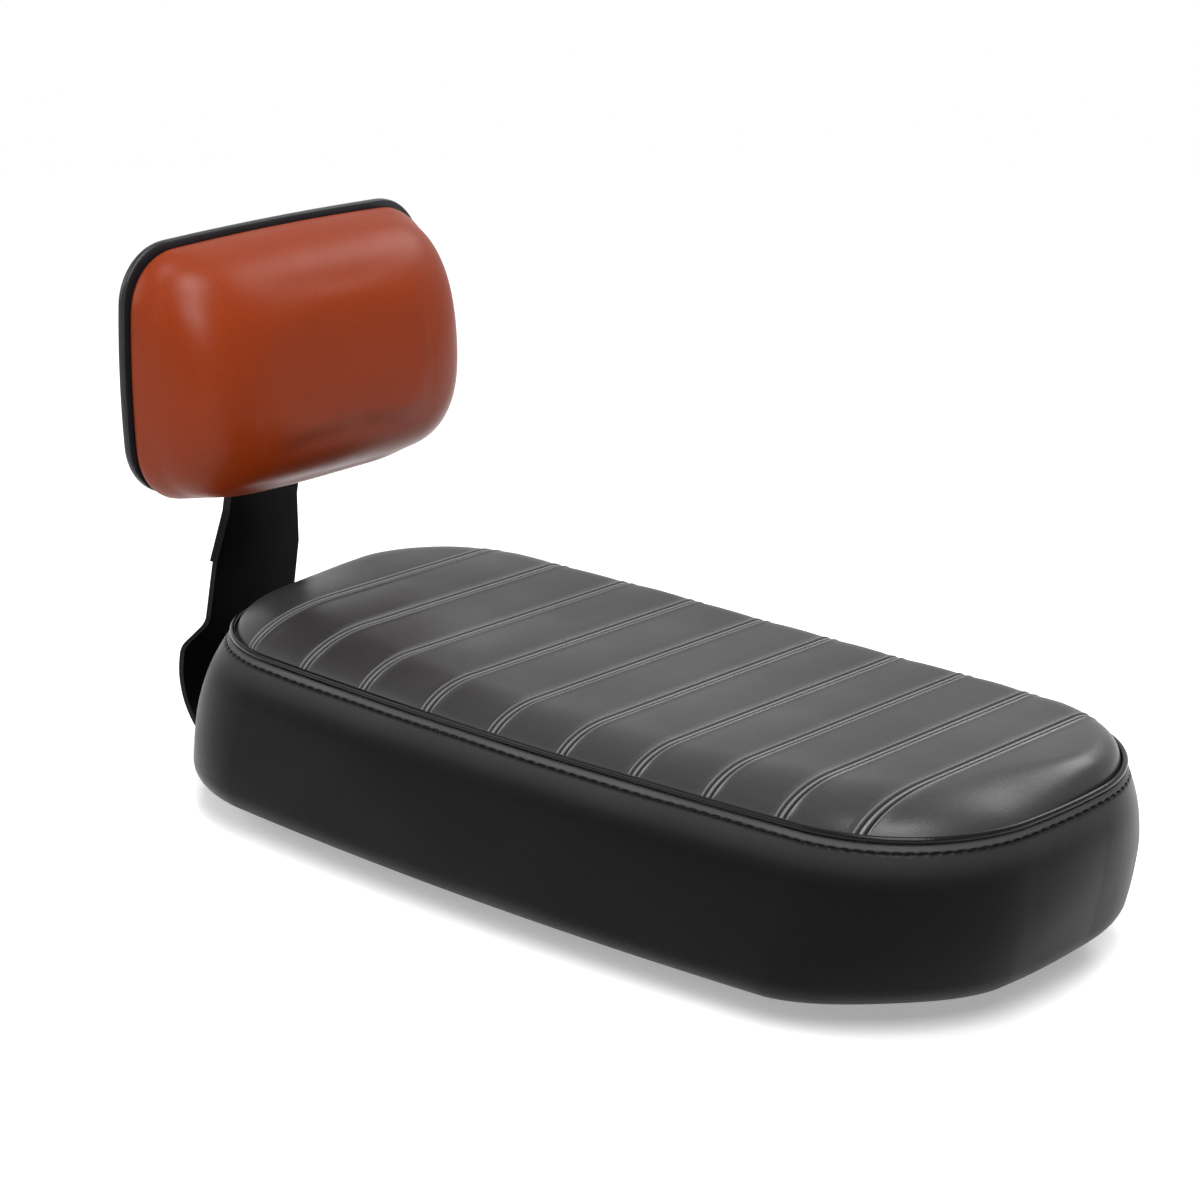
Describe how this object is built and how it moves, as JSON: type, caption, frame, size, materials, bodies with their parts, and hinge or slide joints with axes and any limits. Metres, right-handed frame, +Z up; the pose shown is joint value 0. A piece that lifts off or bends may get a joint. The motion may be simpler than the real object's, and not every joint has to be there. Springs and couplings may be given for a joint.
{
  "type": "rear rack cushion seat",
  "caption": "Long padded seat for a bicycle's rear rack, with a channel-sewn black top, piped edge and a small padded brown backrest on a stamped steel bracket.",
  "frame": {"origin": "midway along the seat, centred across it, on the plane where the base's runners rest on the rack", "axes": "+X forward, +Y to the rider's left, +Z up"},
  "size_m": [0.3861, 0.1649, 0.2094],
  "materials": {
    "top_leatherette": "satin, fine grain, sewn channels",
    "black_leatherette": "satin, fine grain",
    "piping_leatherette": "satin",
    "brown_leatherette": "smooth satin",
    "shell_plastic": "fine moulded texture",
    "base_plastic": "moulded",
    "bracket_paint": "semi-gloss black powder coat",
    "zinc_steel": "zinc plated",
    "black_steel": "black oxide",
    "foam": "open-cell foam",
    "cord": "twisted cord",
    "board": "plywood"
  },
  "bodies": {
    "root": {"seat_base": "base_plastic", "seat_foam": "foam", "seat_side_cover": "black_leatherette", "seat_piping": "piping_leatherette", "piping_cord": "cord", "seat_top_cover": "top_leatherette", "rack_nuts": "zinc_steel", "backrest_bracket": "bracket_paint", "backrest_shell": "shell_plastic", "backrest_board": "board", "backrest_foam": "foam", "backrest_cover": "brown_leatherette", "bracket_bolts": "zinc_steel", "bracket_flat_washers": "zinc_steel", "bracket_spring_washers": "zinc_steel", "bracket_nuts": "zinc_steel", "backrest_screws": "black_steel", "backrest_flat_washers": "black_steel", "backrest_spring_washers": "black_steel", "backrest_nuts": "zinc_steel"}
  },
  "joints": []
}
